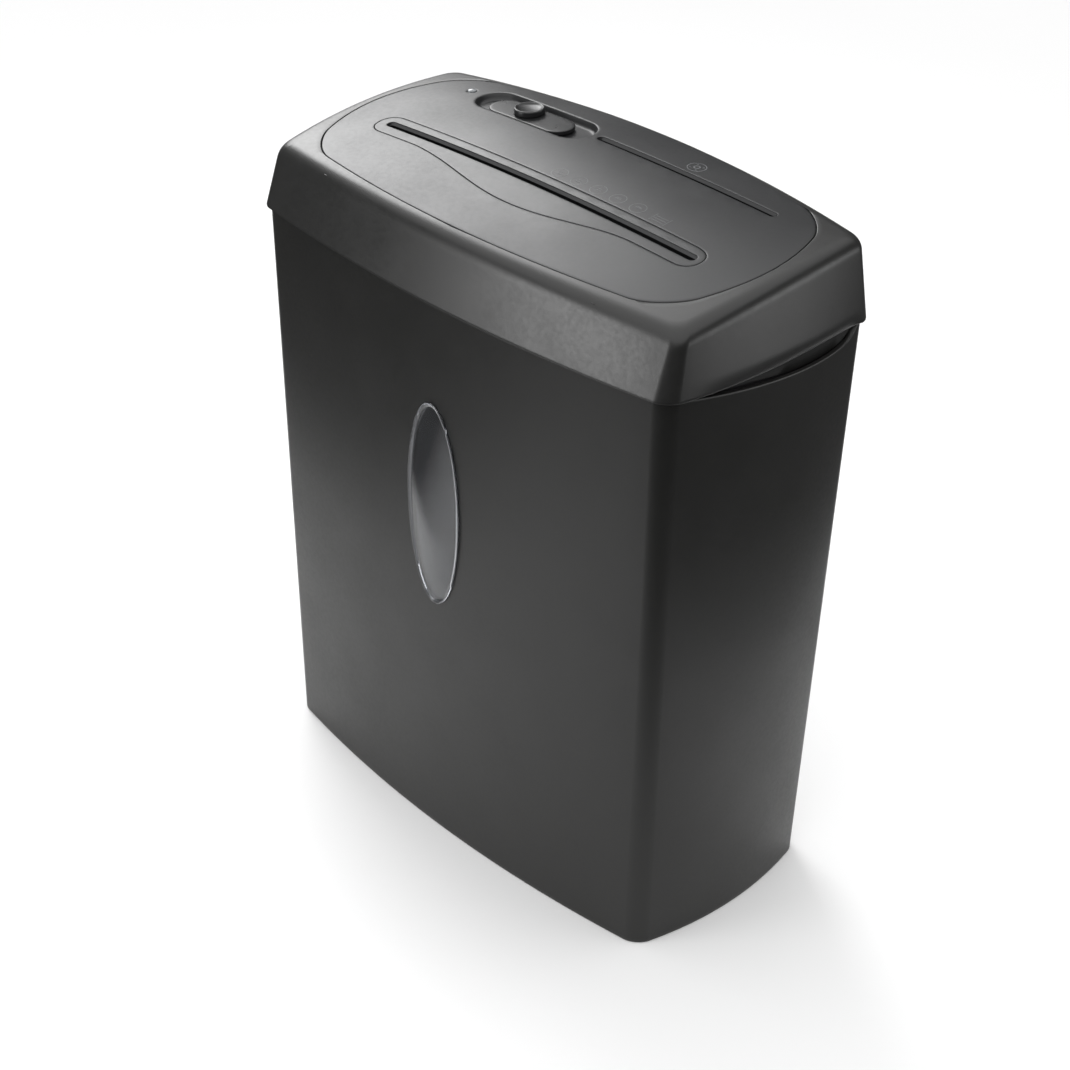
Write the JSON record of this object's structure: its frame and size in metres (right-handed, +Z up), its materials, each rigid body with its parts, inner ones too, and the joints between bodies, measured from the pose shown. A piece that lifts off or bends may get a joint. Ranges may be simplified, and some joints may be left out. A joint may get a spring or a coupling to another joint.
{
  "type": "paper shredder",
  "caption": "Compact cross-cut paper shredder: tapered bin with a window and a lift-off cutting head with paper and disc slots and a sliding mode switch.",
  "frame": {"origin": "middle of the bin's underside, on the surface it stands on", "axes": "+X to the right along the front, +Y to the back, +Z up"},
  "size_m": [0.3236, 0.1706, 0.3908],
  "materials": {
    "bin_plastic": "fine-grained satin charcoal moulding",
    "head_plastic": "satin charcoal moulding",
    "panel_plastic": "low-gloss charcoal moulding",
    "control_plastic": "semi-gloss black moulding",
    "clear_window": "clear moulded polycarbonate",
    "led_lens": "water-clear indicator lens",
    "grommet_rubber": "matte black",
    "inner_plastic": "dark moulding",
    "cutter_steel": "hardened ground steel",
    "zinc_steel": "zinc-plated steel",
    "bronze": "sintered bronze",
    "nylon": "natural nylon",
    "ferrite": "sintered ferrite",
    "lamination": "varnished steel laminations",
    "copper": "turned copper",
    "board": "green circuit board",
    "relay_case": "blue moulded case",
    "capacitor_sleeve": "shrink-sleeved can"
  },
  "bodies": {
    "bin": {"bin_shell": "bin_plastic", "bin_window": "clear_window"},
    "head": {"head_housing": "head_plastic", "top_panel": "panel_plastic", "slot_bezel": "panel_plastic", "disc_chute": "inner_plastic", "lower_tray": "inner_plastic", "cord_inlet": "grommet_rubber", "led_lens": "led_lens", "housing_screw_1": "zinc_steel", "housing_screw_2": "zinc_steel", "housing_screw_3": "zinc_steel", "housing_screw_4": "zinc_steel", "end_plate_left": "zinc_steel", "end_plate_right": "zinc_steel", "centre_plate": "zinc_steel", "tie_rod_front": "zinc_steel", "tie_rod_middle": "zinc_steel", "tie_rod_rear": "zinc_steel", "bush_a_left": "bronze", "bush_a_right": "bronze", "bush_b_left": "bronze", "bush_b_right": "bronze", "comb_front": "inner_plastic", "comb_rear": "inner_plastic", "gear_axle_1": "zinc_steel", "gear_axle_2": "zinc_steel", "gear_cover": "inner_plastic", "motor_can": "zinc_steel", "motor_end_cap": "inner_plastic", "magnet_upper": "ferrite", "magnet_lower": "ferrite", "mode_switch": "inner_plastic", "circuit_board": "board", "relay": "relay_case", "capacitor": "capacitor_sleeve", "sensor_switch": "inner_plastic", "interlock_switch": "inner_plastic"},
    "front_cutter": {"cutter_front": "cutter_steel", "cutter_drive_gear": "zinc_steel", "sync_gear_front": "zinc_steel"},
    "rear_cutter": {"cutter_rear": "cutter_steel", "sync_gear_rear": "zinc_steel"},
    "front_slitter": {"disc_slitter_front": "cutter_steel", "slitter_drive_gear": "nylon", "slitter_gear_front": "nylon"},
    "rear_slitter": {"disc_slitter_rear": "cutter_steel", "slitter_gear_rear": "nylon"},
    "reduction_1": {"reduction_gear_1": "nylon"},
    "reduction_2": {"reduction_gear_2": "nylon"},
    "armature": {"armature_shaft": "zinc_steel", "armature_core": "lamination", "commutator": "copper", "motor_pinion": "zinc_steel"},
    "mode_slider": {"mode_slider": "control_plastic", "slider_knob": "control_plastic", "switch_carrier": "nylon"},
    "sensor_lever": {"sensor_lever": "nylon"},
    "interlock_plunger": {"interlock_plunger": "nylon"}
  },
  "joints": [
    {"name": "head_lift", "type": "slide", "parent": "bin", "child": "head", "axis": [0, 0, 1], "range_m": [0, 0.14]},
    {"name": "front_cutter_spin", "type": "hinge", "parent": "head", "child": "front_cutter", "pos_m": [0, -0.0308, 0.322], "axis": [1, 0, 0], "continuous": true},
    {"name": "rear_cutter_spin", "type": "hinge", "parent": "head", "child": "rear_cutter", "pos_m": [0, 0.0002, 0.322], "axis": [1, 0, 0], "continuous": true},
    {"name": "front_slitter_spin", "type": "hinge", "parent": "head", "child": "front_slitter", "pos_m": [0, 0.0312, 0.322], "axis": [1, 0, 0], "continuous": true},
    {"name": "rear_slitter_spin", "type": "hinge", "parent": "head", "child": "rear_slitter", "pos_m": [0, 0.0552, 0.322], "axis": [1, 0, 0], "continuous": true},
    {"name": "reduction_2_spin", "type": "hinge", "parent": "head", "child": "reduction_2", "pos_m": [0, -0.00385, 0.34306], "axis": [1, 0, 0], "continuous": true},
    {"name": "reduction_1_spin", "type": "hinge", "parent": "head", "child": "reduction_1", "pos_m": [0, 0.0185, 0.31939], "axis": [1, 0, 0], "continuous": true},
    {"name": "motor_spin", "type": "hinge", "parent": "head", "child": "armature", "pos_m": [0, 0.044, 0.335], "axis": [1, 0, 0], "continuous": true},
    {"name": "mode_slide", "type": "slide", "parent": "head", "child": "mode_slider", "axis": [1, 0, 0], "range_m": [-0.008, 0.008]},
    {"name": "sensor_tilt", "type": "hinge", "parent": "head", "child": "sensor_lever", "pos_m": [0, -0.006, 0.36], "axis": [1, 0, 0], "range_deg": [0, 38], "stiffness_Nm_per_rad": 0.002, "springref_deg": -8.59},
    {"name": "interlock_travel", "type": "slide", "parent": "head", "child": "interlock_plunger", "axis": [0, 0, -1], "range_m": [0, 0.0028]}
  ],
  "couplings": [
    {"joint": "rear_cutter_spin", "follows": "front_cutter_spin", "ratio": -1},
    {"joint": "front_slitter_spin", "follows": "front_cutter_spin", "ratio": 1},
    {"joint": "rear_slitter_spin", "follows": "front_cutter_spin", "ratio": -1},
    {"joint": "reduction_2_spin", "follows": "front_cutter_spin", "ratio": -2.8},
    {"joint": "reduction_1_spin", "follows": "front_cutter_spin", "ratio": 8.96},
    {"joint": "motor_spin", "follows": "front_cutter_spin", "ratio": -32.256},
    {"joint": "interlock_travel", "follows": "head_lift", "ratio": 0.02}
  ]
}
